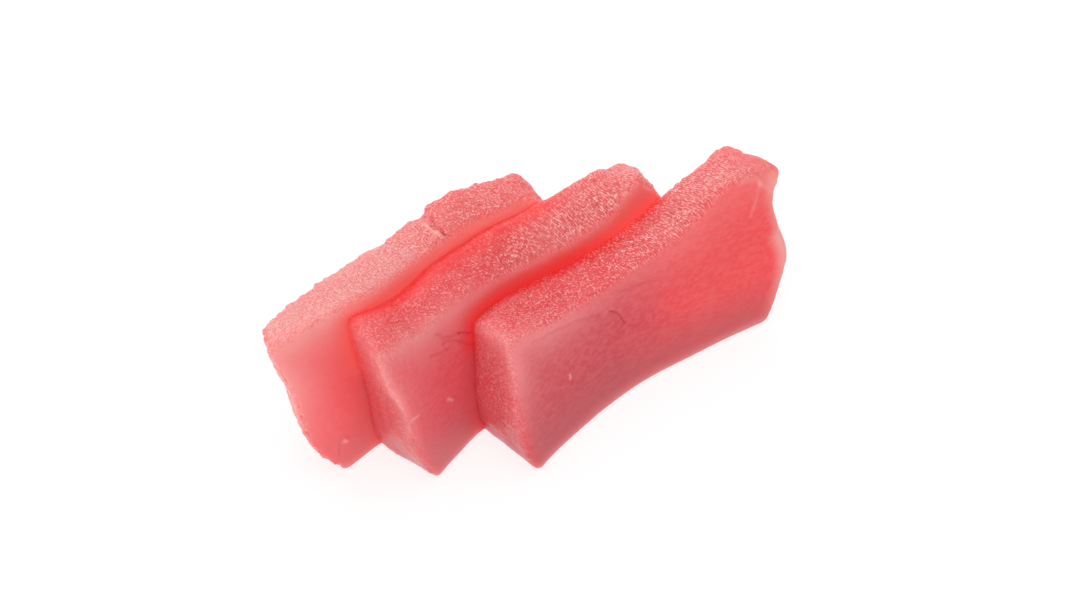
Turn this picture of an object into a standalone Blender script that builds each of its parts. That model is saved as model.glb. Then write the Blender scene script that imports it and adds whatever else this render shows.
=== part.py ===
"""Tuna sashimi: three thick slices cut side by side from one block, each leaning back on the one behind it.

+X runs along the slices, from the near end to the far end. -Y runs from the back slice to the front slice, so the
cut face that shows whole faces -Y. +Z is up, and the slices stand on Z = 0.
"""

import math

import bmesh
import bpy
from mathutils import Vector, noise

MM = 0.001

# Driving dimensions, in millimetres and degrees
LENGTH = 67.0  # a slice from end to end, which is the width of the block
THICKNESS = 12.0  # how far apart the cuts were made
HEIGHT = 27.0  # the thickness of the block
EDGE_RADIUS = 1.7
EDGE_STEPS = 3
CELL = 2.2  # the widest strip that a face is cut into
SLICE_GAP = 0.3  # clear space between two slices
SNAP = 0.00001  # a strip's cut uses corners that lie this near to it
CROWN = 0.5  # how far the middle of a top face stands above its edges
BULGE = 0.6  # how far the middle of an end face stands out
SPAN = (-34.0, 68.0)  # the stretch of X that the cut faces are described over

# Unevenness of the flesh: how far it moves the surface, and the size of its swellings
SWELL_DEPTH = 0.5
SWELL_SIZE = 9.0
RAGGED_DEPTH = 0.35
RAGGED_SIZE = 3.6
SMOOTH_SHARE = 0.25  # how much of it is left on the cut face that shows, which the knife left smooth
GRIP_REACH = 2.0  # the unevenness fades out over this distance from the floor or from a pressed face
PATTERN_STEP = 40.0  # how far apart in the pattern two slices are read, so that no two are alike

# The knife's cuts, from the back of the back slice to the front of the front slice: each cut's Y on the floor, at
# even steps of SPAN. Each cut leans back, towards +Y.
CUT_FEET = (
    (33.5, 35.0, 37.5, 38.5, 37.5, 35.0),
    (19.5, 21.5, 25.0, 26.5, 25.5, 22.5),
    (-0.5, 8.0, 13.0, 14.5, 13.0, 10.0),
    (-6.0, -7.0, -1.5, 1.0, -1.0, -4.0),
)
LEAN = 20.0

# The slices, from back to front. near and far are the X of the two ends on the front cut, at even steps from bottom
# to top. A skew is how far that end has moved along X at the back cut, at the bottom and at the top. front_top and
# back_top are the heights of the top's two long edges, at even steps from the near end to the far end.
SLICES = (
    {
        "name": "slice_back",
        "near": (-27.5, -31.5, -33.0, -33.0, -34.5, -35.5),
        "near_skew": (6.0, 6.0),
        "far": (31.0, 32.0, 33.0, 34.0, 33.5, 31.5),
        "far_skew": (3.0, 3.0),
        "front_top": (31.0, 30.0, 28.5, 27.5, 27.0, 25.5, 24.0),
        "back_top": (24.0, 24.5, 24.0, 23.5, 25.0, 23.0, 21.0),
        "colour": (0.71, 0.105, 0.115, 1.0),
    },
    {
        "name": "slice_middle",
        "near": (-15.5, -17.5, -18.0, -19.0, -21.0, -22.0),
        "near_skew": (-3.0, 4.5),
        "far": (48.0, 49.0, 50.0, 50.5, 50.0, 48.5),
        "far_skew": (2.5, 2.5),
        "front_top": (31.5, 27.5, 26.0, 24.5, 22.5, 22.5, 28.5),
        "back_top": (27.0, 24.5, 24.5, 24.0, 23.0, 23.5, 23.0),
        "colour": (0.76, 0.13, 0.14, 1.0),
    },
    {
        "name": "slice_front",
        "near": (0.0, -1.0, -1.0, 0.0, 0.5, 0.5),
        "near_skew": (-1.0, 2.5),
        "far": (59.0, 63.0, 66.0, 65.5, 65.5, 69.0),
        "far_skew": (-3.0, -3.0),
        "front_top": (27.0, 24.0, 22.5, 23.5, 26.0, 31.0, 29.5),
        "back_top": (21.0, 21.0, 19.5, 19.0, 21.0, 25.0, 28.0),
        "colour": (0.86, 0.16, 0.16, 1.0),
    },
)

# A crease across the back slice's top, where a notch comes down from its back edge
CREASE = {
    "slice": "slice_back",
    "at_front": 0.66,  # where it meets the top's front edge, as a share of the way along the slice
    "at_back": 0.60,
    "width": 1.6,
    "depth": 1.4,
}

ROUGHNESS = 0.35


def through(values, share):
    """A smooth curve through values at even steps, read at share, from 0 to 1."""
    last = len(values) - 1
    place = min(max(share, 0.0), 1.0) * last
    i = min(int(place), last - 1)
    t = place - i
    before, start, end, after = (values[min(max(i + step, 0), last)] for step in (-1, 0, 1, 2))
    slope_in = (end - before) / 2
    slope_out = (after - start) / 2
    return (
        start * (2 * t**3 - 3 * t**2 + 1)
        + slope_in * (t**3 - 2 * t**2 + t)
        + end * (3 * t**2 - 2 * t**3)
        + slope_out * (t**3 - t**2)
    )


def mix(start, end, share):
    """The value at share of the way from start to end."""
    return start + (end - start) * share


def arch(share):
    """0 at both ends of a stretch and 1 in its middle."""
    return 4 * share * (1 - share)


def cut_y(feet, x, z):
    """Where a cut lies, at x along the slices and height z."""
    share = (x - SPAN[0]) / (SPAN[1] - SPAN[0])
    return through(feet, share) + z * math.tan(math.radians(LEAN))


def crease_depth(shape, along, across):
    """How deep the crease is here, deepest at the back edge and nothing at the front one."""
    if shape["name"] != CREASE["slice"]:
        return 0.0
    away = (along - mix(CREASE["at_front"], CREASE["at_back"], across)) * LENGTH
    return CREASE["depth"] * across * math.exp(-((away / CREASE["width"]) ** 2))


def place(shape, back, front, along, across, up):
    """The point of a slice at three shares: along it, across it from front to back, and up it."""
    top = mix(through(shape["front_top"], along), through(shape["back_top"], along), across)
    top -= crease_depth(shape, along, across)
    z = up * (top + CROWN * arch(across))
    near = through(shape["near"], up) + mix(*shape["near_skew"], up) * across - BULGE * arch(up)
    far = through(shape["far"], up) + mix(*shape["far_skew"], up) * across + BULGE * arch(up)
    x = mix(near, far, along)
    y_front = cut_y(front, x, z) + SLICE_GAP / 2
    y_back = cut_y(back, x, z) - SLICE_GAP / 2
    return Vector((x, mix(y_front, y_back, across), z))


def cut_into_strips(bm, axis, size):
    """Cuts the box across one axis into even strips, between its rounded edges."""
    flat = size - 2 * EDGE_RADIUS
    count = math.ceil(flat / CELL)
    for i in range(1, count):
        point = Vector((0, 0, 0))
        normal = Vector((0, 0, 0))
        point[axis] = EDGE_RADIUS + flat * i / count
        normal[axis] = 1
        everything = bm.verts[:] + bm.edges[:] + bm.faces[:]
        bmesh.ops.bisect_plane(bm, geom=everything, dist=SNAP, plane_co=point, plane_no=normal)


def rounded_box(size):
    """A box with rounded edges, its faces cut into strips both ways, with one corner at the origin."""
    bm = bmesh.new()
    bmesh.ops.create_cube(bm, size=1.0)
    for v in bm.verts:
        v.co = Vector((v.co[i] + 0.5) * size[i] for i in range(3))
    bmesh.ops.bevel(
        bm, geom=bm.edges[:], offset=EDGE_RADIUS, segments=EDGE_STEPS, profile=0.5, affect="EDGES"
    )
    for axis in range(3):
        cut_into_strips(bm, axis, size[axis])
    return bm


def freedom(index, across, height):
    """How free the surface is to be uneven, from 0 on the floor or where a slice presses to 1."""
    gap_in_front = across * THICKNESS
    gap_behind = (1 - across) * THICKNESS
    share = min(1.0, height / GRIP_REACH)
    if index > 0:
        share = min(share, gap_behind / GRIP_REACH)
    if index < len(SLICES) - 1:
        return min(share, gap_in_front / GRIP_REACH)
    return share * mix(SMOOTH_SHARE, 1.0, min(1.0, gap_in_front / GRIP_REACH))


def make_uneven(bm, index, shares):
    """Moves each point of the surface in or out by its share of the flesh's unevenness."""
    bm.normal_update()
    elsewhere = Vector((PATTERN_STEP * index, 0.0, 0.0))
    moves = []
    for v, share in zip(bm.verts, shares):
        swell = noise.noise(v.co / SWELL_SIZE + elsewhere) * SWELL_DEPTH
        ragged = noise.noise(v.co / RAGGED_SIZE + elsewhere) * RAGGED_DEPTH
        moves.append(v.normal * (swell + ragged) * share)
    for v, move in zip(bm.verts, moves):
        v.co += move


def flesh_material(name, colour):
    """Raw tuna: a watermelon red with a moist surface."""
    material = bpy.data.materials.new(name)
    material.use_nodes = True
    shader = material.node_tree.nodes["Principled BSDF"]
    shader.inputs["Base Color"].default_value = colour
    shader.inputs["Roughness"].default_value = ROUGHNESS
    shader.inputs["Metallic"].default_value = 0.0
    return material


def build_slice(index):
    """One slice: a rounded box bent to fit between its two cuts, and uneven where it lies free."""
    shape = SLICES[index]
    name = shape["name"]
    back = CUT_FEET[index]
    front = CUT_FEET[index + 1]
    size = (LENGTH, THICKNESS, HEIGHT)
    bm = rounded_box(size)
    shares = []
    for v in bm.verts:
        along, across, up = (v.co[i] / size[i] for i in range(3))
        v.co = place(shape, back, front, along, across, up)
        shares.append(freedom(index, across, v.co.z))
    make_uneven(bm, index, shares)
    bmesh.ops.scale(bm, vec=(MM, MM, MM), verts=bm.verts[:])
    mesh = bpy.data.meshes.new(name)
    bm.to_mesh(mesh)
    bm.free()
    mesh.shade_smooth()
    mesh.materials.append(flesh_material(name + "_flesh", shape["colour"]))
    slice_object = bpy.data.objects.new(name, mesh)
    bpy.context.scene.collection.objects.link(slice_object)
    return slice_object


def centre_on_the_floor(objects):
    """Moves the slices together, so that the origin is in the middle of their box's underside."""
    points = [v.co for o in objects for v in o.data.vertices]
    low = [min(p[i] for p in points) for i in range(3)]
    high = [max(p[i] for p in points) for i in range(3)]
    middle = Vector(((low[0] + high[0]) / 2, (low[1] + high[1]) / 2, low[2]))
    for o in objects:
        o.location = -middle


def main():
    for old in list(bpy.data.objects):
        bpy.data.objects.remove(old)
    slices = [build_slice(i) for i in range(len(SLICES))]
    centre_on_the_floor(slices)


main()
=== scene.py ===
"""The looks of the tuna sashimi: moist raw flesh, grainy on top and at the ends, smooth where it was cut."""

import itertools
import math

import bmesh
import bpy
import numpy as np
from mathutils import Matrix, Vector
from mathutils.bvhtree import BVHTree
from mathutils.kdtree import KDTree


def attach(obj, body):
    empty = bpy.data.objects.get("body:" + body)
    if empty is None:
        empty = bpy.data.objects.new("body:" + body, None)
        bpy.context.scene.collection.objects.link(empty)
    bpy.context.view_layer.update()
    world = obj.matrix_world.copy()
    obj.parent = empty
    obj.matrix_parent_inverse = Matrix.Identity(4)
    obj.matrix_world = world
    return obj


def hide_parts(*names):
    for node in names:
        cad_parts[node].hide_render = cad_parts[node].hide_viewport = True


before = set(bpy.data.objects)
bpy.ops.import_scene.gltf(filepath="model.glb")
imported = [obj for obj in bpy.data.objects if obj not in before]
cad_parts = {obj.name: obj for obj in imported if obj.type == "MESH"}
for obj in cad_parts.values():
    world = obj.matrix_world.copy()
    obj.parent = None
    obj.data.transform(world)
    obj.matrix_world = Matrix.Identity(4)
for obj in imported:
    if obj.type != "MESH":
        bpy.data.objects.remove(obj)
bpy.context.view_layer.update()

MM = 0.001
LEAN = math.radians(20)  # how far the slices lean back, towards +Y
TOP_TILT = math.radians(15)  # how far their tops fall away, towards +Y

# Directions that the faces of a slice look in
CUT_FACE = np.array((0, -math.cos(LEAN), math.sin(LEAN)))
TOP_FACE = np.array((0, math.sin(TOP_TILT), math.cos(TOP_TILT)))

# The fine mesh
WELD = 0.001 * MM  # the solid's points that lie this near each other are joined
VOXEL = 0.25 * MM
FACET_SMOOTHING = 40  # rounds that turn the solid's facets into a smooth surface
SMOOTH_IN = 0.5  # how far each round moves the points in, and then out again, so that nothing shrinks
SMOOTH_OUT = -0.52
REGION_SMOOTHING = 8  # rounds that soften which way the surface faces
FADE_SMOOTHING = 30  # rounds that soften where one kind of surface turns into another
SETTLING = 12  # rounds that smooth the flesh where it was stretched to the next slice
SETTLED_MOVE = 0.3 * MM  # points that were stretched this far are smoothed in full
ALONG_HEIGHT = 18  # the ends are followed up to this height in mm, which every slice reaches all along
EDGE_LEVEL = 0.5 * MM  # how closely an edge is followed

# How squarely the surface looks a region's way where that region starts, and where it is reached in full
FACING = {
    "top": (0.72, 0.93),
    "end": (0.72, 0.93),  # either end
    "cut": (0.80, 0.97),  # either cut face
    "under": (0.70, 0.95),
    "grainy": (0.45, 0.80),  # the top with its rounded edges
    "sideways": (0.25, 0.60),  # either end with its rounded edges
    "near_end": (0.30, 0.80),
    "back": (0.50, 0.90),  # the cut face at the back
    "backwards": (-0.1, 0.5),  # the rounded edges at the back, which are ragged
    "marked_side": (0.5, 0.8),  # where the marks on a cut face show
    "marked_top": (0.0, 0.5),  # where those on the top do
}
END_GRAIN = (2 * MM, 16 * MM)  # an end is smooth below the first height, and grainy above the second
END_GRAIN_SHARE = 0.75  # how grainy an end is, next to the top

# Relief: how deep each kind is, and how large its forms are along X, Y and Z
GRAIN_DEPTH = 0.07 * MM
GRAIN_SIZE = (0.45 * MM, 0.7 * MM, 0.6 * MM)
GRAIN_WARP = (0.5, 0.2, 0.2)  # how far the grain is bent, as a share of its size
WARP_SIZE = 2.2 * MM
RAGGED_DEPTH = 0.30 * MM
RAGGED_SIZE = 1.2 * MM
FINER = 2.1  # how much smaller the second layer of ragged forms is
FINER_DEPTH = 0.5  # and its depth, as a share of the first one's
SWELL_DEPTH = 0.10 * MM
SWELL_SIZE = 5.0 * MM
EDGE_RAGGED = 0.25  # the least that an edge is ragged
TOP_RAGGED = 0.2  # how ragged the grainy faces are, next to an edge
END_RAGGED = 0.3  # how ragged the ends are besides, next to their edges
FLOOR_REACH = 2.5 * MM  # relief fades out towards the floor over this height
PRESSED = (0.7, 0.9)  # relief fades out over these shares of the way to the next slice

# Where slices lie against each other
PRESS_REACH = 6.0 * MM  # how far from another slice the flesh still takes on painted shade and glow for it
CLING = (1.0 * MM, 2.2 * MM)  # gaps under the first width are closed, and those over the second left open
END_CREEP_LOSS = 0.7  # how much less the near end creeps than the top

# Small swellings and dents of the outline: the slice, the place, how wide it is and how far it moves, in mm
SWELLINGS = (
    ("slice_back", (-30.5, 18.6, 25.9), 6.5, (0.0, 0.4, 0.6)),
    ("slice_back", (-8.8, 20.9, 25.7), 1.4, (0.0, 0.4, 0.4)),
    ("slice_back", (-21.0, 20.3, 24.8), 4.0, (0.0, 0.4, 0.6)),
    ("slice_back", (-5.4, 23.2, 25.1), 1.5, (0.2, -1.6, -0.6)),
    ("slice_back", (3.0, 22.0, 24.6), 3.4, (0.0, 0.5, 0.6)),
    ("slice_back", (17.2, 15.5, 21.8), 2.8, (-1.3, -0.3, -0.5)),
    ("slice_middle", (27.1, 9.5, 24.1), 2.2, (0.0, 0.3, 0.6)),
    ("slice_middle", (31.3, 8.6, 24.4), 2.8, (-0.3, -0.7, -0.6)),
    ("slice_middle", (32.4, 0.8, 26.0), 2.2, (-1.0, 0.0, -0.1)),
    ("slice_front", (50.3, -15.3, 29.0), 2.2, (0.2, 0.0, 0.1)),
    ("slice_front", (47.8, -4.2, 28.0), 2.6, (0.0, 0.4, 0.1)),
    ("slice_front", (45.5, -23.0, 5.5), 4.0, (-0.5, 0.0, 0.0)),
)

# Marks on the cut faces: the slice, the kind, the width and depth in mm, and the places that each passes
# through, as X and Z in mm. A mark with a negative depth stands out.
FACE_MARKS = (
    ("slice_front", "dark", 0.22, 0.30, ((9.3, 18), (11, 17.2), (12, 14.5))),
    ("slice_front", "faint", 0.35, 0.06, ((-10, 23.5), (-4, 22), (2, 20.5), (7, 18.5))),
    ("slice_front", "faint", 0.35, 0.06, ((10.5, 21), (18, 19.5))),
    ("slice_front", "pale", 0.35, -0.2, ((-3.5, 12.3), (-3.5, 11.7))),
    ("slice_front", "haze", 0.55, -0.02, ((42.5, 30), (45.5, 29.5), (48.5, 26))),
    ("slice_front", "haze", 0.55, -0.02, ((43, 23), (45, 26), (46.5, 29))),
    ("slice_middle", "dark", 0.22, 0.25, ((-17.5, 21), (-15, 19.7), (-13, 18.5))),
    ("slice_middle", "faint", 0.35, 0.15, ((-23, 24.5), (-20, 22), (-17.5, 21))),
    ("slice_middle", "faint", 0.3, 0.20, ((-21.5, 22), (-17.5, 19.5), (-14.5, 16.5))),
    ("slice_middle", "faint", 0.3, 0.10, ((-25.5, 22), (-21, 20))),
    ("slice_middle", "pale", 0.35, -0.2, ((-24.5, 12), (-23.5, 11))),
    ("slice_middle", "pale", 0.25, -0.1, ((-34.5, 15.5), (-32, 15))),
    ("slice_back", "faint", 0.3, 0.2, ((-43.5, 6.5), (-44, 5))),
    ("slice_back", "pale", 0.4, -0.2, ((-42.5, 6.5), (-42, 6))),
)

# The same on the back of the back slice
BACK_MARKS = (
    ("slice_back", "faint", 0.4, 0.10, ((-27, 15), (-20, 16.5), (-12, 16), (-5, 17.5))),
    ("slice_back", "faint", 0.35, 0.10, ((-14, 8), (-8, 7), (-1, 8))),
    ("slice_back", "haze", 0.8, -0.03, ((2, 14), (8, 15.5), (14, 14.5))),
    ("slice_back", "dark", 0.22, 0.25, ((-33.5, 13), (-32.0, 12.2), (-31.0, 10.5))),
    ("slice_back", "pale", 0.35, -0.2, ((-21, 6.3), (-20.6, 5.8))),
    ("slice_back", "pale", 0.3, -0.15, ((4.5, 6.0), (5.2, 5.8))),
)

# The same on the tops, as X and Y: the crease across the back slice
TOP_MARKS = (
    ("slice_back", "faint", 0.5, 0.35, ((-5.5, 23.5), (-6.0, 19.5), (-7.0, 17), (-6.8, 14.5))),
    ("slice_back", "dark", 0.25, 0.25, ((-7.2, 15.2), (-6.4, 14.0), (-6.0, 13.4))),
    ("slice_back", "pale", 0.5, -0.1, ((-8.0, 19.5), (-8.2, 17), (-7.6, 14.6))),
    ("slice_back", "haze", 0.5, -0.1, ((-8.5, 14.5), (-11, 13.9))),
)

# How much each kind of mark darkens the flesh, partly its own colour and partly painted shade in the cut, or
# with a negative value makes it paler
MARK_TONES = {"dark": 0.6, "faint": 0.3, "pale": -0.5, "haze": -0.25}
MARK_WANDER = 0.25 * MM  # how far a mark strays from its straight stretches
MARK_WANDER_SIZE = 1.2 * MM

# The flesh of each slice:
# face, far: the colour of its cut face, and how that turns towards the far end
# ridge, ridged: the painted light along its front edges, where light glances off and shines through them,
# and how far it reaches, near and far
# shoulder: how pale its near top edge is with the same painted light
# foot, end: its colour towards the floor and at its near end
# top, top_far: the colour of its top, near and far, partly its own and partly painted light and shade:
# deeper red where the slice behind shades it, paler where the lamps glance off it
# grain, fibrous: how strong the grain is near, far and at the far tip, and how far it is drawn into fibres
# ragged: how uneven the edges of the ends are, near and far
# through: the light that comes through it in the valley near and far, lower down and everywhere
# ahead: where it meets the slice in front, its painted shade and glow low down and in the open valley, and
# how far it takes on that colour at its near end and further along
# behind: where it meets the slice behind, its painted shade low down and on top, how close that starts at
# its near end and further along, its painted light and shade in the last stretch low down and on top, and
# how far it creeps up the other slice, over what width
LOOKS = {
    "slice_back": {
        "face": (0.97, 0.150, 0.175),
        "far": (0.98, 0.16, 0.16),
        "ridge": (1.0, 0.44, 0.42),
        "ridged": (0.9, 0.15),
        "shoulder": 0.3,
        "foot": (0.64, 0.180, 0.190),
        "end": (0.90, 0.220, 0.215),
        "top": (0.78, 0.280, 0.270),
        "top_far": (0.76, 0.118, 0.118),
        "grain": (0.55, 0.8, 0.7),
        "fibrous": 0.3,
        "ragged": (1.5, 0.7),
        "through": (0.14, 0.12, 0.04, 0.045),
        "ahead": {
            "low": (0.82, 0.175, 0.185),
            "high": (0.97, 0.220, 0.195),
            "pressed": (0.85, 0.85),
        },
        "behind": None,
    },
    "slice_middle": {
        "face": (0.86, 0.107, 0.142),
        "far": (1.0, 0.20, 0.19),
        "ridge": (0.88, 0.37, 0.37),
        "ridged": (0.9, 0.45),
        "shoulder": 0.7,
        "foot": (0.58, 0.185, 0.200),
        "end": (0.74, 0.120, 0.130),
        "top": (0.76, 0.034, 0.045),
        "top_far": (0.82, 0.200, 0.200),
        "grain": (0.46, 0.9, 0.9),
        "fibrous": 0.7,
        "ragged": (0.7, 0.55),
        "through": (0.12, 0.26, 0.04, 0.0),
        "ahead": {
            "low": (0.82, 0.115, 0.140),
            "high": (0.96, 0.030, 0.030),
            "pressed": (0.5, 0.85),
        },
        "behind": {
            "low": (0.72, 0.110, 0.125),
            "high": (0.84, 0.022, 0.026),
            "starts": (-0.2, -0.2),
            "last_low": (0.66, 0.015, 0.030),
            "last_high": (0.88, 0.100, 0.095),
            "creep": (1.0 * MM, 1.5 * MM),
        },
    },
    "slice_front": {
        "face": (0.70, 0.043, 0.076),
        "far": (0.96, 0.068, 0.080),
        "ridge": (0.92, 0.32, 0.33),
        "ridged": (0.9, 0.5),
        "shoulder": 1.0,
        "foot": (0.52, 0.112, 0.130),
        "end": (0.72, 0.090, 0.110),
        "top": (0.76, 0.018, 0.032),
        "top_far": (0.80, 0.165, 0.165),
        "grain": (0.70, 0.85, 0.35),
        "fibrous": 0.7,
        "ragged": (0.7, 0.2),
        "through": (0.12, 0.12, 0.04, 0.0),
        "ahead": None,
        "behind": {
            "low": (0.68, 0.105, 0.120),
            "high": (0.86, 0.036, 0.038),
            "starts": (0.6, 0.45),
            "last_low": (0.66, 0.015, 0.030),
            "last_high": (0.70, 0.015, 0.025),
            "creep": (0.3 * MM, 0.5 * MM),
        },
    },
}
RIDGE_REACH = 5 * MM  # how fast the painted light of the front ridge fades, on each side of it

# Colours that all the slices share
COLOURS = {
    "back": (0.80, 0.060, 0.080),
    "threads": (0.98, 0.30, 0.28),
    # Painted light along the far rim, where the rounded edge catches the lamps
    "lit_rim": (0.97, 0.46, 0.42),
    # Painted light along the front ridge, redder far along and duller low down
    "far_ridge_light": (1.0, 0.26, 0.25),
    "low_ridge_light": (0.57, 0.22, 0.24),
    # Painted light at the very foot, where the white floor shines in
    "floor_lit_fringe": (0.71, 0.28, 0.29),
    # Partly paler fibres and partly painted glints of light on the grain
    "pale_grain_and_glints": (1.0, 0.56, 0.50),
    "deep_grain": (0.72, 0.012, 0.025),
    # Painted glints
    "glints": (1.0, 0.84, 0.80),
    # Partly the flesh's own colour and partly painted shade inside the cracks
    "crack_colour_and_shade": (0.55, 0.010, 0.020),
    "flecks": (1.0, 0.60, 0.55),
    "glow": (1.0, 0.07, 0.06),
}

# Along a slice, from 0 at its near end to 1 at its far end: where a change starts and where it ends, and the
# values at the start and at the end, if they aren't 0 and 1 or taken from LOOKS
STRETCHES = {
    "face": (0.35, 0.75),  # the cut face takes on its far colour
    "top": (0.42, 0.75),  # so does the top
    "ridge": (0.4, 0.8, 0.0, 0.6),  # the ridge's painted light turns redder
    "ridged": (0.15, 0.45),  # the ridge's painted light gets its far strength
    "fibres": (0.2, 0.6),  # specks turn into fibres
    "grain": (0.3, 0.6),  # the grain gets its far strength
    "tip": (0.88, 0.97),  # and its strength at the tip
    "round_lit_rim": (0.8, 0.92, 0.1, 0.8),  # rounded edges turn pale with painted light
    "lit_rim": (0.93, 0.99),  # so does all of the far end
    "behind": (0.05, 0.3),  # the painted shade for the slice behind gets its reach further along
    "pressed": (0.0, 0.4),  # the painted shade and glow for the slice in front get their strength further along
    "released": (0.65, 0.9, 1.0, 0.4),  # and loses some of it again
    "valley": (0.5, 0.85),  # the light in the valley gets its far strength
}

# The same with height
HEIGHTS = {
    "foot": (-2 * MM, 14 * MM, 0.95, 0.0),  # the foot colour is lost
    "floor_lit_fringe": (0.3 * MM, 3.5 * MM, 0.65, 0.0),  # so is the paler fringe next to the floor, painted light from the white floor
    "ridge": (3 * MM, 24 * MM, 0.2, 1.0),  # the ridge's painted light gets its strength
    "low_ridge_light": (4 * MM, 24 * MM, 0.8, 0.0),  # and loses the duller colour of its painted light low down
    "valley": (14 * MM, 19 * MM),  # the corner between two slices opens into a valley
}

# The same with closeness to another slice, from 0 at PRESS_REACH to 1 where they touch
CLOSENESS = {
    "shade_and_glow_ahead": (0.2, 0.95),  # the painted shade and glow for the slice in front come in
    "last": (0.60, 0.90, 0.0, 0.65),  # the painted light and shade of the last stretch to the slice behind comes in
    "shining": (0.45, 1.0),  # light comes through for the slice in front
    "touching": (0.82, 0.98),  # and along the line of a contact
}
FULLY_SHADED = 0.9  # how close the slice behind is where its painted shade on the flesh is full

# How far something goes, from 0 to 1
END_SHARE = 0.8  # the near end's colour, on the cut face next to it
TOP_SHARE = 0.95  # the top's colour, on the grainy faces
END_RIDGE_LIGHT = 0.8  # the ridge's painted light, on the near end
SHADE_BEHIND = (0.95, 0.3)  # the painted shade for the slice behind, and the same at the near end
GRAIN_BEHIND = 0.15  # the grain that is left where the painted shade of the slice behind is full
DEEP_END_GRAIN = 0.3  # the deep grain on the near end
LEAST_FIBROUS = 0.1  # the grain's turning into fibres at the near end
FIBRE_SHARE = 0.18  # how far the grain's strokes follow evenly spaced fibres
LIT_BEHIND = (0.3, 0.85, 0.0, 0.2)  # from where to where the painted shade behind also lets light through, and how much
CONTACT_LIGHT = (0.16, 0.14)  # the light along the line of a contact, low down and in the valley

# Noise in the flesh: how large its forms are, how finely they break up, how far they are drawn out along X,
# Y and Z, and how far they are twisted
PATTERNS = {
    "clouds": (8 * MM, 1, (1, 1, 1), 0.0),
    "mottling": (4 * MM, 3, (2.5, 1, 1), 0.0),
    "threads": (0.7 * MM, 3, (2.2, 1, 1), 0.5),
    "wander": (3 * MM, 1, (1, 1, 1), 0.0),
    "strokes": (0.38 * MM, 1, (1, 2.6, 2.6), 0.2),
    "specks": (0.38 * MM, 1, (1, 1, 1), 0.3),
    "patches": (6 * MM, 2, (1, 1, 1), 0.0),
    "glints": (0.40 * MM, 0, (1, 1, 1), 0.0),
}

# What the noise is turned into: from which value to which, and what these two give
LEVELS = {
    "clouds": (0.2, 0.8, -0.04, 0.04),  # how far along the slice the far colour strays
    "mottling": (0.35, 0.65, 0.15, 0.75),
    "threads": (0.35, 0.65, 0.0, 0.20),
    "wander": (0.2, 0.8, -0.35 * MM, 0.35 * MM),  # how far a fibre strays
    "patches": (0.3, 0.7, 0.65, 1.0),
    "pale_grain_and_glints": (0.53, 0.63, 0.0, 0.85),
    "deep_grain": (0.50, 0.38, 0.0, 0.85),
    "glints": (0.68, 0.75, 0.0, 0.8),
    "roughness": (0.4, 0.6, 0.45, 0.30),
}
FIBRE_SPACING = 0.48 * MM
RIDGE_POWER = 1.6  # makes the ridge's painted light narrower on the top than on the cut face
GRAIN_SHIFT = 0.25  # how much closer the slice behind has to be at the far end, to take away as much grain
BUMP_DEPTH = 0.30 * MM  # how deep the grain looks where it shows in full
LEAST_BUMP = 0.05  # the share of that which is left where no grain shows

# What the flesh's shader has all over
FLESH = {
    "Subsurface Weight": 1.0,
    "Subsurface Radius": (1.0, 0.08, 0.07),
    "Subsurface Scale": 7 * MM,
    "IOR": 1.4,
    "Coat Weight": 0.12,
    "Coat Roughness": 0.25,
}

# The studio
FLOOR_SIZE = 6
FLOOR = {
    "Base Color": (0.33, 0.33, 0.33, 1),
    "Roughness": 0.9,
    "Specular IOR Level": 0.1,
    "Emission Color": (1, 1, 1, 1),
    "Emission Strength": 0.74,
}
ROOM_LIGHT = 0.6

# Large soft lamps that look at the slices: the name, the place, the width and height, and the brightness
PANELS = (
    ("overhead", (0.05, 0.15, 0.75), 0.9, 0.9, 0.7),
    ("behind", (0.30, 0.85, 0.42), 0.9, 0.45, 1.7),
    ("left", (-0.85, -0.30, 0.45), 0.6, 0.6, 1.5),
)

# The camera, as fitted to the photo
CAMERA_ELEVATION = math.radians(47)
CAMERA_TURN = math.radians(40)  # from looking square at the cut faces towards looking along +X
CAMERA_DISTANCE = 0.5645
CAMERA_LENS = 100
CAMERA_CLIP = 0.01
AIM = Vector((0.0038, 0.0013, 0.012))

# Large odd numbers that scatter the values of the noise
SCATTER_CELLS = (374761393, 668265263, 2147483647)
SCATTER_SEED = 974711
SCATTER_FIRST = 1274126177
SCATTER_AGAIN = 2246822519


def hashed(cells, seed):
    """A number from 0 to 1 for each whole-numbered cell, the same every time."""
    mask = np.int64(0xFFFFFFFF)
    h = (cells @ np.array(SCATTER_CELLS) + seed * SCATTER_SEED) & mask
    h = ((h ^ (h >> 13)) * SCATTER_FIRST) & mask
    h = ((h ^ (h >> 16)) * SCATTER_AGAIN) & mask
    return ((h ^ (h >> 15)) & 0xFFFF) / 0xFFFF


def noise(points, seed):
    """Smooth noise from -1 to 1, with forms of about size 1."""
    cells = np.floor(points).astype(np.int64)
    t = points - cells
    t = t * t * (3 - 2 * t)
    total = np.zeros(len(points))
    for corner in itertools.product((0, 1), repeat=3):
        weight = np.prod(np.where(corner, t, 1 - t), axis=1)
        total += hashed(cells + corner, seed) * weight
    return total * 2 - 1


def step(low, high, value):
    """0 below low, 1 above high, and smooth between them."""
    t = np.clip((value - low) / (high - low), 0, 1)
    return t * t * (3 - 2 * t)


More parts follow.
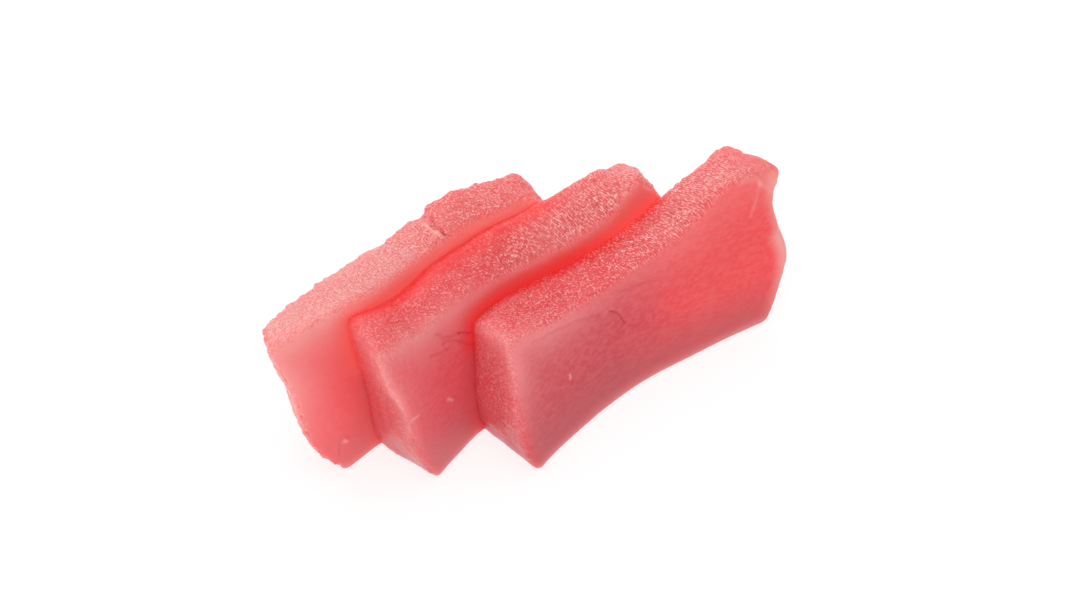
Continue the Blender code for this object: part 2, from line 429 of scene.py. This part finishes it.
class Surface:
    """A fine mesh as arrays of its points and its edges."""

    def __init__(self, mesh):
        self.mesh = mesh
        self.co = np.empty(len(mesh.vertices) * 3)
        mesh.vertices.foreach_get("co", self.co)
        self.co = self.co.reshape(-1, 3)
        self.edges = np.empty(len(mesh.edges) * 2, np.int64)
        mesh.edges.foreach_get("vertices", self.edges)
        self.edges = self.edges.reshape(-1, 2)
        self.degree = np.bincount(self.edges.ravel(), minlength=len(self.co))

    def spread(self, values, rounds, share=0.5):
        """values, each point's moved towards the mean of its neighbours' in each round."""
        a, b = self.edges.T
        flat = values.reshape(len(values), -1)
        for _ in range(rounds):
            near = np.empty_like(flat)
            for i in range(flat.shape[1]):
                near[:, i] = np.bincount(a, flat[b, i], len(flat)) + np.bincount(b, flat[a, i], len(flat))
            flat = flat + share * (near / self.degree[:, None] - flat)
        return flat.reshape(values.shape)

    def store(self):
        """Writes the points back to the mesh."""
        self.mesh.vertices.foreach_set("co", self.co.ravel())
        self.mesh.update()

    def normals(self):
        """Each point's outward direction."""
        self.store()
        found = np.empty(len(self.co) * 3, np.float32)
        self.mesh.vertex_normals.foreach_get("vector", found)
        return found.reshape(-1, 3).astype(float)

    def attribute(self, name, values):
        """Keeps a value for each point, for the material to read."""
        self.mesh.attributes.new(name, "FLOAT", "POINT").data.foreach_set("value", values.astype(np.float32))


def fine_mesh(node, name):
    """A fine and evenly meshed copy of a CAD node, as a new object."""
    bm = bmesh.new()
    bm.from_mesh(node.data)
    bmesh.ops.remove_doubles(bm, verts=bm.verts[:], dist=WELD)
    mesh = bpy.data.meshes.new(name)
    bm.to_mesh(mesh)
    bm.free()
    piece = bpy.data.objects.new(name, mesh)
    bpy.context.scene.collection.objects.link(piece)
    remesh = piece.modifiers.new("fine", "REMESH")
    remesh.mode = "VOXEL"
    remesh.voxel_size = VOXEL
    evaluated = piece.evaluated_get(bpy.context.evaluated_depsgraph_get())
    fine = bpy.data.meshes.new_from_object(evaluated)
    piece.modifiers.clear()
    piece.data = fine
    bpy.data.meshes.remove(mesh)
    fine.name = name
    fine.shade_smooth()
    return piece


def smooth_facets(surface):
    """Turns the solid's facets into a smooth surface of the same size."""
    for _ in range(FACET_SMOOTHING):
        surface.co = surface.spread(surface.co, 1, SMOOTH_IN)
        surface.co = surface.spread(surface.co, 1, SMOOTH_OUT)


def shape_outline(surface, node_name):
    """Moves the small swellings and dents of the outline in or out."""
    for slice_name, place, width, move in SWELLINGS:
        if slice_name == node_name:
            distance = np.linalg.norm(surface.co / MM - np.array(place), axis=1)
            surface.co += np.exp(-((distance / width) ** 2))[:, None] * np.array(move) * MM


def regions(surface):
    """How far each point belongs to the top, an end, a cut face or the rounded edges between them."""
    facing = surface.spread(surface.normals(), REGION_SMOOTHING)
    facing /= np.linalg.norm(facing, axis=1)[:, None]
    upwards = facing @ TOP_FACE
    endwards = np.abs(facing[:, 0])
    top = step(*FACING["top"], upwards)
    end = step(*FACING["end"], endwards)
    cut = step(*FACING["cut"], np.abs(facing @ CUT_FACE))
    under = step(*FACING["under"], -facing[:, 2])
    edge = np.clip(1 - top - end - cut - under, 0, 1)
    sideways = step(*FACING["sideways"], endwards)
    grainy_end = END_GRAIN_SHARE * sideways * step(*END_GRAIN, surface.co[:, 2])
    grainy = np.clip(step(*FACING["grainy"], upwards) + grainy_end, 0, 1)
    near_end = step(*FACING["near_end"], -facing[:, 0])
    return {
        "facing": facing,
        "cut": cut,
        "edge": edge,
        "sideways": sideways,
        "soft_edge": surface.spread(edge, FADE_SMOOTHING),
        "grainy": surface.spread(grainy, FADE_SMOOTHING),
        "near_end": surface.spread(near_end, FADE_SMOOTHING),
        "back": step(*FACING["back"], facing @ -CUT_FACE),
    }


def neighbour_gap(surface, node_name, which):
    """Each point's way and distance to the next slice in front (1) or behind (-1), up to PRESS_REACH."""
    way = np.zeros_like(surface.co)
    distance = np.full(len(surface.co), PRESS_REACH)
    names = list(LOOKS)
    number = names.index(node_name) + which
    if 0 <= number < len(names):
        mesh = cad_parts[names[number]].data
        tree = BVHTree.FromPolygons([v.co for v in mesh.vertices], [p.vertices for p in mesh.polygons])
        for i, point in enumerate(surface.co):
            found, _, _, gap = tree.find_nearest(point, PRESS_REACH)
            if found is not None:
                distance[i] = gap
                way[i] = found - Vector(point)
    return way, distance


def cling(surface, region, way, distance):
    """Stretches a slice's rounded edges to a cut face that lies close, so that no gap shows between them."""
    share = (1 - step(*CLING, distance)) * (1 - region["cut"])
    surface.co += way * share[:, None]


def creep(surface, region, distance, height, width):
    """Lets a slice's top and near end creep up the cut face behind it, which rounds the corner there."""
    up_the_face = region["facing"] - (region["facing"] @ CUT_FACE)[:, None] * CUT_FACE
    share = np.exp(-distance / width) * (1 - region["cut"]) * (1 - END_CREEP_LOSS * region["near_end"])
    share *= step(0, FLOOR_REACH, surface.co[:, 2])
    surface.co += up_the_face * (share * height)[:, None]


def settle(surface, before):
    """Smooths the points that have moved since before, so that they leave no pleats."""
    moved = np.linalg.norm(surface.co - before, axis=1)
    share = surface.spread(step(0, SETTLED_MOVE, moved), REGION_SMOOTHING)[:, None]
    for _ in range(SETTLING):
        surface.co += share * (surface.spread(surface.co, 1) - surface.co)


def meet_neighbours(surface, region, node_name, look):
    """Closes the contacts with the slices behind and in front, and returns how wide the gaps were."""
    before = surface.co.copy()
    way_behind, gap_behind = neighbour_gap(surface, node_name, -1)
    way_ahead, gap_ahead = neighbour_gap(surface, node_name, 1)
    cling(surface, region, way_behind, gap_behind)
    cling(surface, region, way_ahead, gap_ahead)
    if look["behind"]:
        creep(surface, region, gap_behind, *look["behind"]["creep"])
    settle(surface, before)
    return gap_behind, gap_ahead


def place_along(surface):
    """How far along the slice each point lies, from 0 at its near end to 1 at its far end."""
    x, z = surface.co[:, 0], surface.co[:, 2]
    height = np.minimum(z / MM, ALONG_HEIGHT)
    level = height.astype(int)
    levels = np.unique(level)
    near = [x[level == i].min() for i in levels]
    far = [x[level == i].max() for i in levels]
    above_middle = height - 0.5  # each level is 1 mm high
    start = np.interp(above_middle, levels, near)
    end = np.interp(above_middle, levels, far)
    return surface.spread(np.clip((x - start) / (end - start), 0, 1), FADE_SMOOTHING)


def edge_distance(surface, edges):
    """How far each point is from the nearest edge, each given as what it runs along and what it tops."""
    found = []
    for place, outward in edges:
        level = (place / EDGE_LEVEL).astype(int)
        for i in np.unique(level):
            inside = np.flatnonzero(level == i)
            found.append(inside[np.argmax(outward[inside])])
    tree = KDTree(len(found))
    for i in found:
        tree.insert(surface.co[i], int(i))
    tree.balance()
    return np.array([tree.find(point)[2] for point in surface.co])


def ridge_light_share(surface, shoulder):
    """Where the edges' painted light goes: 1 along the front edges of the top and the near end, shoulder
    along the near top edge, less away.
    """
    x, y, z = surface.co.T
    front = np.exp(-edge_distance(surface, ((x, z - y), (z, -x - y))) / RIDGE_REACH)
    near_top = np.exp(-edge_distance(surface, ((y, z - x),)) / RIDGE_REACH) * shoulder
    return surface.spread(np.maximum(front, near_top), FADE_SMOOTHING)


def path_distance(points, path):
    """How far each point is from a path of straight stretches."""
    nearest = np.full(len(points), np.inf)
    for start, end in zip(path[:-1], path[1:]):
        a = np.array(start, float) * MM
        along = np.array(end, float) * MM - a
        t = np.clip((points - a) @ along / (along @ along), 0, 1)
        nearest = np.minimum(nearest, np.linalg.norm(points - a - t[:, None] * along, axis=1))
    return nearest


def add_marks(surface, node_name, seed):
    """Cuts the cracks and creases, raises the flecks, and returns how dark or pale they are."""
    out = surface.normals()
    tone = np.zeros(len(surface.co))
    wander = noise(surface.co / MARK_WANDER_SIZE, seed + 7)[:, None] * MARK_WANDER
    faces = (
        (FACE_MARKS, [0, 2], step(*FACING["marked_side"], -out[:, 1])),
        (BACK_MARKS, [0, 2], step(*FACING["marked_side"], out[:, 1])),
        (TOP_MARKS, [0, 1], step(*FACING["marked_top"], out[:, 2])),
    )
    for marks, axes, inside in faces:
        flat = surface.co[:, axes] + wander
        for slice_name, kind, width, depth, path in marks:
            if slice_name == node_name:
                profile = np.exp(-((path_distance(flat, path) / (width * MM)) ** 2)) * inside
                surface.co -= out * (profile * depth * MM)[:, None]
                tone += profile * MARK_TONES[kind]
    return np.clip(tone, -1, 1)


def add_relief(surface, region, pressed, look, seed):
    """Grain on the top and the ends, ragged edges, and slight swellings everywhere."""
    out = surface.normals()
    points = surface.co
    warp = noise(points / WARP_SIZE, seed + 1)[:, None] * np.array(GRAIN_WARP)
    grain = noise(points / np.array(GRAIN_SIZE) + warp, seed + 2)
    ragged = noise(points / RAGGED_SIZE, seed + 4)
    ragged += FINER_DEPTH * noise(points / RAGGED_SIZE * FINER, seed + 5)
    swell = noise(points / SWELL_SIZE, seed + 6)

    near, far = look["ragged"]
    at_the_ends = region["sideways"] * (near + (far - near) * place_along(surface))
    at_the_back = step(*FACING["backwards"], out[:, 1]) * (1 - region["sideways"])
    edges = region["edge"] * np.maximum(np.maximum(at_the_back, at_the_ends), EDGE_RAGGED)
    shaggy = edges + TOP_RAGGED * region["grainy"] + END_RAGGED * at_the_ends

    height = region["grainy"] * grain * GRAIN_DEPTH
    height += shaggy * ragged * RAGGED_DEPTH
    height += (1 - region["cut"]) * swell * SWELL_DEPTH
    height *= step(0, FLOOR_REACH, points[:, 2]) * (1 - step(*PRESSED, pressed))
    surface.co = points + out * height[:, None]
    surface.co[:, 2] = np.maximum(surface.co[:, 2], 0)


class Shading:
    """A material's node tree, with short names for the nodes that the flesh needs."""

    def __init__(self, name, seed):
        self.material = bpy.data.materials.new(name)
        self.material.use_nodes = True
        self.nodes = self.material.node_tree.nodes
        self.link = self.material.node_tree.links.new
        self.shader = self.nodes["Principled BSDF"]
        self.coords = self.nodes.new("ShaderNodeTexCoord").outputs["Object"]
        self.seed = seed

    def set(self, socket, value):
        """Gives a socket a number, a colour or another node's output."""
        if isinstance(value, tuple):
            socket.default_value = (*value, 1)
        elif isinstance(value, (int, float)):
            socket.default_value = value
        else:
            self.link(value, socket)

    def attribute(self, name):
        """A value that the mesh keeps for each point."""
        node = self.nodes.new("ShaderNodeAttribute")
        node.attribute_name = name
        return node.outputs["Fac"]

    def place(self, axis):
        """Where the surface is along an axis, in metres."""
        split = self.nodes.new("ShaderNodeSeparateXYZ")
        self.link(self.coords, split.inputs["Vector"])
        return split.outputs[axis]

    def noise(self, pattern):
        """One of the PATTERNS, as noise from 0 to 1."""
        size, detail, stretch, distortion = PATTERNS[pattern]
        mapping = self.nodes.new("ShaderNodeMapping")
        mapping.inputs["Location"].default_value = (self.seed, 0, 0)
        mapping.inputs["Scale"].default_value = [1 / (size * s) for s in stretch]
        self.link(self.coords, mapping.inputs["Vector"])
        node = self.nodes.new("ShaderNodeTexNoise")
        node.inputs["Scale"].default_value = 1
        node.inputs["Detail"].default_value = detail
        node.inputs["Distortion"].default_value = distortion
        self.link(mapping.outputs["Vector"], node.inputs["Vector"])
        return node.outputs["Fac"]

    def pattern(self, name):
        """One of the PATTERNS, brought to its LEVELS."""
        return self.remap(self.noise(name), *LEVELS[name])

    def maths(self, operation, a, b):
        """One sum with two values."""
        node = self.nodes.new("ShaderNodeMath")
        node.operation = operation
        self.set(node.inputs[0], a)
        self.set(node.inputs[1], b)
        return node.outputs["Value"]

    def plus(self, a, b):
        """Two values added up."""
        return self.maths("ADD", a, b)

    def times(self, a, b):
        """Two values multiplied."""
        return self.maths("MULTIPLY", a, b)

    def most(self, a, b):
        """The larger of two values."""
        return self.maths("MAXIMUM", a, b)

    def remap(self, value, low, high, new_low=0.0, new_high=1.0):
        """value moved smoothly from one range to another, and held inside it."""
        node = self.nodes.new("ShaderNodeMapRange")
        node.interpolation_type = "SMOOTHSTEP"
        self.link(value, node.inputs["Value"])
        self.set(node.inputs["From Min"], low)
        node.inputs["From Max"].default_value = high
        node.inputs["To Min"].default_value = new_low
        node.inputs["To Max"].default_value = new_high
        return node.outputs["Result"]

    def blend(self, share, a, b):
        """Value a turned into value b by share."""
        node = self.nodes.new("ShaderNodeMix")
        for i, value in ((0, share), (2, a), (3, b)):
            self.set(node.inputs[i], value)
        return node.outputs[0]

    def mix(self, share, a, b):
        """Colour a turned into colour b by share."""
        node = self.nodes.new("ShaderNodeMix")
        node.data_type = "RGBA"
        for i, value in ((0, share), (6, a), (7, b)):
            self.set(node.inputs[i], value)
        return node.outputs[2]

    def fibres(self, spacing, shift):
        """Even ridges across the slice, each moved along X by shift."""
        turns = self.times(self.plus(self.place("X"), shift), 2 * math.pi / spacing)
        return self.remap(self.maths("SINE", turns, 0), -1, 1)


def cut_face(s, at, look):
    """The cut face's dull or bright red with fine threads, mottled at the back, and pale with painted light
    at the far rim.
    """
    cloudy = s.plus(at["along"], s.pattern("clouds"))
    colour = s.mix(s.remap(cloudy, *STRETCHES["face"]), look["face"], look["far"])
    colour = s.mix(s.times(at["back"], s.pattern("mottling")), colour, COLOURS["back"])
    colour = s.mix(s.times(at["near_end"], END_SHARE), colour, look["end"])
    colour = s.mix(s.pattern("threads"), colour, COLOURS["threads"])
    rounded = s.times(at["edge"], s.remap(at["along"], *STRETCHES["round_lit_rim"]))
    lit_rim = s.most(s.remap(at["along"], *STRETCHES["lit_rim"]), rounded)
    return s.mix(lit_rim, colour, COLOURS["lit_rim"])


def add_top(s, at, look, colour):
    """The flesh of the top and the near end, under its grain; the tops' colours are partly painted light and
    shade.
    """
    top = s.mix(s.remap(at["along"], *STRETCHES["top"]), look["top"], look["top_far"])
    top = s.mix(at["near_end"], top, look["end"])
    return s.mix(s.times(at["rough"], TOP_SHARE), colour, top)


def add_ridge_light(s, at, look, colour):
    """Painted light along the front edges, where light glances off and shines through them: redder towards
    the far end and duller low down.
    """
    on_face = s.times(at["ridge"], s.remap(at["along"], *STRETCHES["ridged"], *look["ridged"]))
    narrower = s.maths("POWER", at["ridge"], RIDGE_POWER)
    on_top = s.times(narrower, s.blend(at["near_end"], on_face, END_RIDGE_LIGHT))
    raised = s.remap(at["height"], *HEIGHTS["ridge"])
    ridge = s.mix(s.remap(at["along"], *STRETCHES["ridge"]), look["ridge"], COLOURS["far_ridge_light"])
    ridge = s.mix(s.remap(at["height"], *HEIGHTS["low_ridge_light"]), ridge, COLOURS["low_ridge_light"])
    return s.mix(s.times(raised, s.blend(at["rough"], on_face, on_top)), colour, ridge)


def add_foot(s, at, look, colour):
    """The greyer foot, and the pale fringe next to the floor, painted light where the white floor shines in.
    """
    colour = s.mix(s.remap(at["height"], *HEIGHTS["foot"]), colour, look["foot"])
    return s.mix(s.remap(at["height"], *HEIGHTS["floor_lit_fringe"]), colour, COLOURS["floor_lit_fringe"])


def near_behind(s, at, look, closeness):
    """How far the flesh takes on the painted shade of the slice behind, at this closeness to it."""
    start = s.remap(at["along"], *STRETCHES["behind"], *look["behind"]["starts"])
    return s.remap(closeness, start, FULLY_SHADED)


def add_behind(s, at, look, colour):
    """Painted shade next to the slice behind, deep red where it shuts out the light, with painted light and
    shade of its own in the last stretch.
    """
    behind = look["behind"]
    colour = s.mix(at["red_behind"], colour, s.mix(at["high"], behind["low"], behind["high"]))
    last = s.mix(at["high"], behind["last_low"], behind["last_high"])
    return s.mix(s.remap(at["behind"], *CLOSENESS["last"]), colour, last)


def add_ahead(s, at, look, colour):
    """Painted shade and glow next to the slice in front: deep red where the light is shut out, glowing red
    where it comes through.
    """
    ahead = look["ahead"]
    inner = s.remap(at["along"], *STRETCHES["pressed"], *ahead["pressed"])
    inner = s.times(inner, s.remap(at["along"], *STRETCHES["released"]))
    share = s.times(s.remap(at["ahead"], *CLOSENESS["shade_and_glow_ahead"]), inner)
    return s.mix(share, colour, s.mix(at["high"], ahead["low"], ahead["high"]))


def grain_pattern(s, at, look):
    """The grain: short fibres across the slice, which break up into specks towards its near end."""
    strokes = s.blend(FIBRE_SHARE, s.noise("strokes"), s.fibres(FIBRE_SPACING, s.pattern("wander")))
    fibrous = s.remap(at["along"], *STRETCHES["fibres"], LEAST_FIBROUS, look["fibrous"])
    return s.blend(fibrous, s.noise("specks"), strokes)


def grain_strength(s, at, look):
    """How far the grain shows: in patches, less in the painted shade of the slice behind, and changing along
    the slice.
    """
    near, far, tip = look["grain"]
    shown = s.times(at["rough"], s.pattern("patches"))
    if look["behind"]:
        closeness = s.maths("SUBTRACT", at["behind"], s.times(at["along"], GRAIN_SHIFT))
        shown = s.times(shown, s.blend(near_behind(s, at, look, closeness), 1.0, GRAIN_BEHIND))
    shown = s.times(shown, s.remap(at["along"], *STRETCHES["grain"], near, far))
    return s.times(shown, s.remap(at["along"], *STRETCHES["tip"], 1.0, tip))


def add_grain(s, at, grain, shown, colour):
    """Pale grain, partly paler fibres and partly painted glints, deep grain, and small bright painted
    glints.
    """
    pale = s.times(s.remap(grain, *LEVELS["pale_grain_and_glints"]), shown)
    deep = s.times(s.remap(grain, *LEVELS["deep_grain"]), s.blend(at["near_end"], shown, DEEP_END_GRAIN))
    glints = s.times(s.pattern("glints"), shown)
    colour = s.mix(pale, colour, COLOURS["pale_grain_and_glints"])
    colour = s.mix(deep, colour, COLOURS["deep_grain"])
    return s.mix(glints, colour, COLOURS["glints"])


def add_mark_tones(s, at, colour):
    """The dark cracks, partly the flesh's own colour and partly painted shade inside them, and the pale
    flecks.
    """
    colour = s.mix(s.remap(at["tone"], 0.0, 1.0), colour, COLOURS["crack_colour_and_shade"])
    return s.mix(s.remap(at["tone"], 0.0, -1.0), colour, COLOURS["flecks"])


def glow(s, at, look):
    """The light that comes through where slices meet, broad in the valleys and narrow at a contact."""
    near, far, lower, everywhere = look["through"]
    shining = s.remap(at["ahead"], *CLOSENESS["shining"])
    if look["behind"]:
        shining = s.most(shining, s.remap(at["red_behind"], *LIT_BEHIND))
    in_valley = s.remap(at["along"], *STRETCHES["valley"], near, far)
    broad = s.times(s.blend(at["high"], lower, in_valley), shining)
    touching = s.remap(s.most(at["ahead"], at["behind"]), *CLOSENESS["touching"])
    narrow = s.times(touching, s.blend(at["high"], *CONTACT_LIGHT))
    return s.plus(s.plus(broad, narrow), everywhere)


def grain_bump(s, grain, shown):
    """The surface's direction, with the grain standing out where it shows."""
    bump = s.nodes.new("ShaderNodeBump")
    bump.inputs["Strength"].default_value = 1.0
    bump.inputs["Distance"].default_value = BUMP_DEPTH
    s.set(bump.inputs["Height"], s.times(grain, s.plus(shown, LEAST_BUMP)))
    return bump.outputs["Normal"]


def flesh_material(name, look, seed, kept):
    """Moist translucent flesh: pale grain on top and at the ends, even and redder where it was cut."""
    s = Shading(name, seed)
    at = {key: s.attribute(key) for key in kept}
    at["height"] = s.place("Z")
    at["high"] = s.remap(at["height"], *HEIGHTS["valley"])
    grain = grain_pattern(s, at, look)
    shown = grain_strength(s, at, look)

    colour = cut_face(s, at, look)
    colour = add_top(s, at, look, colour)
    colour = add_ridge_light(s, at, look, colour)
    colour = add_foot(s, at, look, colour)
    if look["behind"]:
        # Painted shade where the slice behind shuts out the light
        most_shade = s.blend(at["near_end"], *SHADE_BEHIND)
        at["red_behind"] = s.times(near_behind(s, at, look, at["behind"]), most_shade)
        colour = add_behind(s, at, look, colour)
    colour = add_grain(s, at, grain, shown, colour)
    if look["ahead"]:
        colour = add_ahead(s, at, look, colour)
    colour = add_mark_tones(s, at, colour)

    inputs = s.shader.inputs
    s.set(inputs["Base Color"], colour)
    s.set(inputs["Emission Color"], COLOURS["glow"])
    s.set(inputs["Emission Strength"], glow(s, at, look))
    s.set(inputs["Roughness"], s.remap(grain, *LEVELS["roughness"]))
    s.set(inputs["Normal"], grain_bump(s, grain, shown))
    for socket, value in FLESH.items():
        inputs[socket].default_value = value
    return s.material


def make_slice(node_name, piece_name, look, seed):
    """The fleshy slice that stands for one CAD node."""
    piece = fine_mesh(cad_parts[node_name], piece_name)
    surface = Surface(piece.data)
    smooth_facets(surface)
    shape_outline(surface, node_name)
    region = regions(surface)
    gap_behind, gap_ahead = meet_neighbours(surface, region, node_name, look)
    add_relief(surface, region, 1 - np.minimum(gap_behind, gap_ahead) / PRESS_REACH, look, seed)
    tone = add_marks(surface, node_name, seed)
    surface.store()
    kept = {
        "rough": region["grainy"],
        "edge": region["soft_edge"],
        "near_end": region["near_end"],
        "back": region["back"],
        "ridge": ridge_light_share(surface, look["shoulder"]),
        "behind": 1 - gap_behind / PRESS_REACH,
        "ahead": 1 - gap_ahead / PRESS_REACH,
        "along": place_along(surface),
        "tone": tone,
    }
    for name, values in kept.items():
        surface.attribute(name, values)
    piece.data.materials.clear()
    piece.data.materials.append(flesh_material(piece_name, look, seed, kept))
    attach(piece, "root")
    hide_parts(node_name)


def make_floor():
    """A plain white floor, which gives off some light itself."""
    bpy.ops.mesh.primitive_plane_add(size=FLOOR_SIZE)
    floor = bpy.context.object
    floor.name = "floor"
    material = bpy.data.materials.new("white_floor")
    material.use_nodes = True
    shader = material.node_tree.nodes["Principled BSDF"]
    for socket, value in FLOOR.items():
        shader.inputs[socket].default_value = value
    floor.data.materials.append(material)


def make_panel(name, place, width, height, brightness):
    """A large soft lamp that looks at the slices, as bright as brightness seen from the front."""
    data = bpy.data.lights.new(name, "AREA")
    data.shape = "RECTANGLE"
    data.size = width
    data.size_y = height
    data.energy = brightness * math.pi * width * height
    light = bpy.data.objects.new(name, data)
    light.location = place
    light.rotation_euler = (-Vector(place)).to_track_quat("-Z", "Y").to_euler()
    bpy.context.scene.collection.objects.link(light)


def make_lights():
    """Soft light from all round, and the panels."""
    world = bpy.data.worlds.new("studio")
    bpy.context.scene.world = world
    world.use_nodes = True
    background = world.node_tree.nodes["Background"]
    background.inputs["Color"].default_value = (1, 1, 1, 1)
    background.inputs["Strength"].default_value = ROOM_LIGHT
    for panel in PANELS:
        make_panel(*panel)


def make_camera():
    """The camera, where the photo was taken from."""
    look = Vector(
        (
            math.sin(CAMERA_TURN) * math.cos(CAMERA_ELEVATION),
            math.cos(CAMERA_TURN) * math.cos(CAMERA_ELEVATION),
            -math.sin(CAMERA_ELEVATION),
        )
    )
    data = bpy.data.cameras.new("camera")
    data.lens = CAMERA_LENS
    data.clip_start = CAMERA_CLIP
    camera = bpy.data.objects.new("camera", data)
    camera.location = AIM - look * CAMERA_DISTANCE
    camera.rotation_euler = look.to_track_quat("-Z", "Y").to_euler()
    bpy.context.scene.collection.objects.link(camera)
    bpy.context.scene.camera = camera


for number, (node_name, look) in enumerate(LOOKS.items()):
    flesh_name = node_name.replace("slice", "flesh")
    make_slice(node_name, flesh_name, look, seed=10 * (number + 1))
make_floor()
make_lights()
make_camera()
bpy.context.scene.view_settings.view_transform = "Standard"
